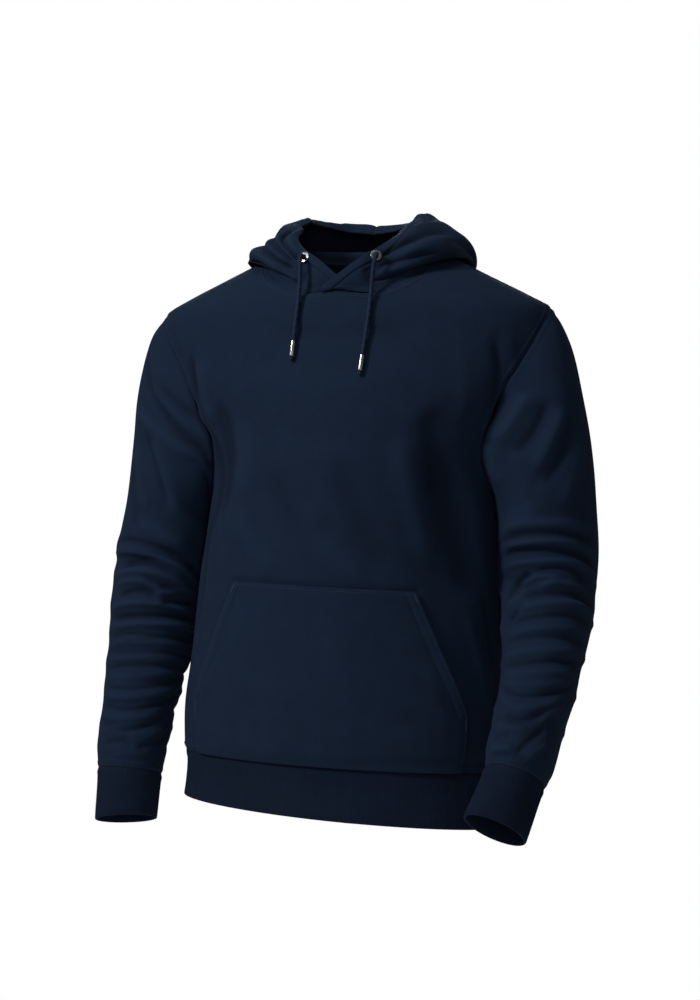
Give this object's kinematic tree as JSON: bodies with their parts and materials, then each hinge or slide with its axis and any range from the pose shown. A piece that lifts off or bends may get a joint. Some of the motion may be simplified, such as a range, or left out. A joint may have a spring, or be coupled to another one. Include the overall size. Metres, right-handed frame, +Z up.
{
  "type": "pullover hoodie",
  "caption": "Hooded pullover sweatshirt in navy fleece, filled out as worn, with a lowered hood, drawcord, front pouch pocket and ribbed hem and cuffs.",
  "frame": {"origin": "middle of the neck opening, level with where the two shoulders hold the garment up", "axes": "+Z up, along the garment's length; the front faces -Y; +X is the garment's own left"},
  "size_m": [0.6351, 0.3463, 0.7681],
  "materials": {
    "fleece": "soft matt knit face, dark navy",
    "rib": "fine rib knit, dark navy",
    "cord": "round braid, dark navy",
    "metal": "polished nickel"
  },
  "bodies": {
    "root": {"front": "fleece", "back": "fleece", "hem_rib": "rib", "pocket": "fleece", "sleeve_left": "fleece", "cuff_left": "rib", "hood_left": "fleece", "eyelet_left": "metal", "cord_left": "cord", "aglet_left": "metal", "cord_tip_left": "cord", "sleeve_right": "fleece", "cuff_right": "rib", "hood_right": "fleece", "eyelet_right": "metal", "cord_right": "cord", "aglet_right": "metal", "cord_tip_right": "cord"}
  },
  "joints": []
}
